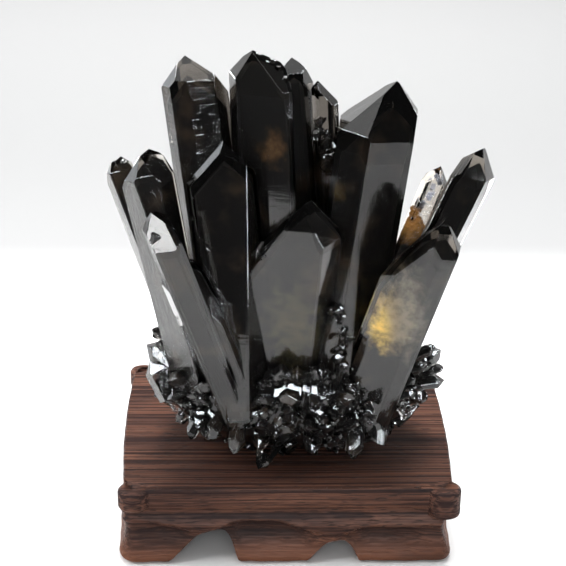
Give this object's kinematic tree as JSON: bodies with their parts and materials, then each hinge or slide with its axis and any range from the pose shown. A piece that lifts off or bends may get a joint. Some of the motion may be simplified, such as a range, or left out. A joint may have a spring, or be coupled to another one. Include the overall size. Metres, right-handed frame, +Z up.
{
  "type": "quartz cluster on stand",
  "caption": "Cluster of dark smoky quartz points on a crust of small crystals, resting on a low carved hardwood stand with arched feet.",
  "frame": {"origin": "bottom centre of the whole object's box, on the surface that it stands on; 3.3 mm to the right of the middle of the stand's footprint", "axes": "+Z up, +X to the right and +Y to the back, with the front of the cluster facing -Y"},
  "size_m": [0.1156, 0.08, 0.1552],
  "materials": {
    "smoky_quartz": "polished",
    "hardwood": "satin"
  },
  "bodies": {
    "root": {"crystal_cluster": "smoky_quartz", "wooden_stand": "hardwood"}
  },
  "joints": []
}
